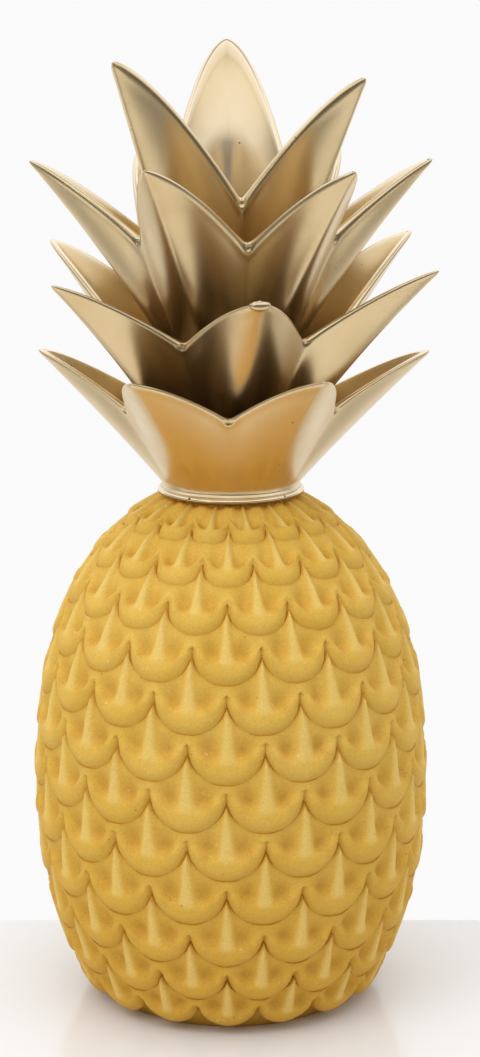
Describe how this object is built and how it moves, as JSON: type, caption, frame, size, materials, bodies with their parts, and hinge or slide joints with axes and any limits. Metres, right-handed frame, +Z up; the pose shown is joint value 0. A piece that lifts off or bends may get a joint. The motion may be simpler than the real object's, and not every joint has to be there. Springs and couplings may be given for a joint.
{
  "type": "decorative pineapple",
  "caption": "Standing pineapple ornament: an oval body carved with overlapping scales, a flared collar, and a crown of nested cups of pointed leaves.",
  "frame": {"origin": "middle of the flat underside that it stands on", "axes": "+Z up along the pineapple's axis to the leaf tips, front facing -Y as in the picture, +X to the picture's right"},
  "size_m": [0.141, 0.1453, 0.336],
  "materials": {
    "yellow_body": "matt mustard yellow with a fine sandy grain",
    "gold_crown": "satin champagne gold metal plating over ceramic, brighter on the rims"
  },
  "bodies": {
    "root": {"body": "yellow_body", "crown": "gold_crown"}
  },
  "joints": []
}
